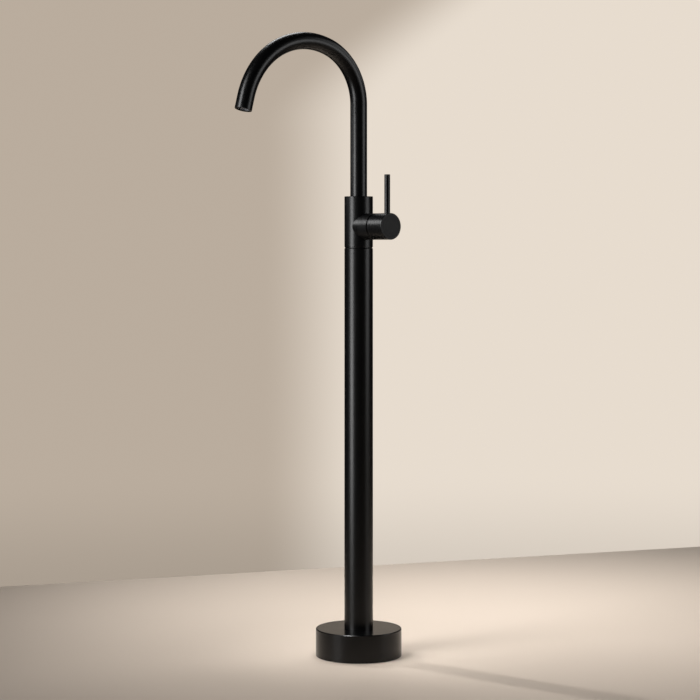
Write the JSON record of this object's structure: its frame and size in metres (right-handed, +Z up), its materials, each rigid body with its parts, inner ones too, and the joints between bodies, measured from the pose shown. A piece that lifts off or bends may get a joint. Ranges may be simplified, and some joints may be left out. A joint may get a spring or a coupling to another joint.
{
  "type": "floor-standing basin mixer",
  "caption": "Floor-standing single-lever basin mixer: tall round column on a round base, swivelling gooseneck spout, side knob with an upright pin lever.",
  "frame": {"origin": "on the floor at the axis of the column", "axes": "+Z up along the column, spout towards -X, handle towards -Y"},
  "size_m": [0.3421, 0.1608, 1.0828],
  "materials": {
    "matt_black": "fine matt black powder coating on brass",
    "bare_brass": "turned, uncoated",
    "stainless_steel": "machined",
    "steel_braid": "braided wire over a rubber hose",
    "black_rubber": "moulded",
    "white_acetal": "moulded",
    "grey_acetal": "moulded",
    "alumina": "lapped ceramic",
    "fibre": "pressed fibre"
  },
  "bodies": {
    "stand": {"floor_gasket": "black_rubber", "floor_flange": "stainless_steel", "flange_clamp_screws": "stainless_steel", "column_tube": "matt_black", "column_top_insert": "bare_brass", "valve_body": "matt_black", "swivel_slip_ring": "white_acetal", "spout_retaining_screw": "stainless_steel", "cartridge_base": "white_acetal", "cartridge_port_seals": "black_rubber", "cartridge_housing": "grey_acetal", "fixed_ceramic_disc": "alumina", "retaining_nut": "bare_brass", "dome_ring": "matt_black", "hot_hose": "steel_braid", "cold_hose": "steel_braid", "hose_crimp_sleeves": "stainless_steel", "hose_tails": "bare_brass", "hose_tail_o_rings": "black_rubber", "hose_nipples": "bare_brass", "hose_nuts": "bare_brass", "hose_washers": "fibre"},
    "cover": {"base_cover": "matt_black", "cover_seal": "black_rubber"},
    "spout": {"spout_tube": "matt_black", "spout_tail": "bare_brass", "spout_o_rings": "black_rubber", "outlet_insert": "matt_black", "aerator_gasket": "black_rubber", "aerator_housing": "grey_acetal", "aerator_screens": "grey_acetal"},
    "rotor": {"cartridge_rotor": "white_acetal", "rotor_seal": "black_rubber", "pivot_pin": "stainless_steel"},
    "lever": {"valve_spindle": "bare_brass", "lever_knob": "matt_black", "lever_pin": "matt_black", "knob_grub_screw": "stainless_steel", "grub_screw_cap": "black_rubber"},
    "disc": {"moving_ceramic_disc": "alumina", "disc_carrier": "white_acetal"}
  },
  "joints": [
    {"name": "cover_lift", "type": "slide", "parent": "stand", "child": "cover", "axis": [0, 0, 1], "range_m": [0, 0.66]},
    {"name": "spout_swivel", "type": "hinge", "parent": "stand", "child": "spout", "pos_m": [0, 0, 0.79], "axis": [0, 0, 1], "range_deg": [-60, 60]},
    {"name": "lever_turn", "type": "hinge", "parent": "stand", "child": "rotor", "pos_m": [0, -0.03, 0.75], "axis": [0, -1, 0], "range_deg": [-45, 45]},
    {"name": "lever_tilt", "type": "hinge", "parent": "rotor", "child": "lever", "pos_m": [0, -0.03, 0.75], "axis": [1, 0, 0], "range_deg": [0, 25]},
    {"name": "disc_slide", "type": "slide", "parent": "rotor", "child": "disc", "axis": [0, 0, 1], "range_m": [0, 0.0034]}
  ],
  "couplings": [
    {"joint": "disc_slide", "follows": "lever_tilt", "m_per_rad": 0.007749}
  ]
}
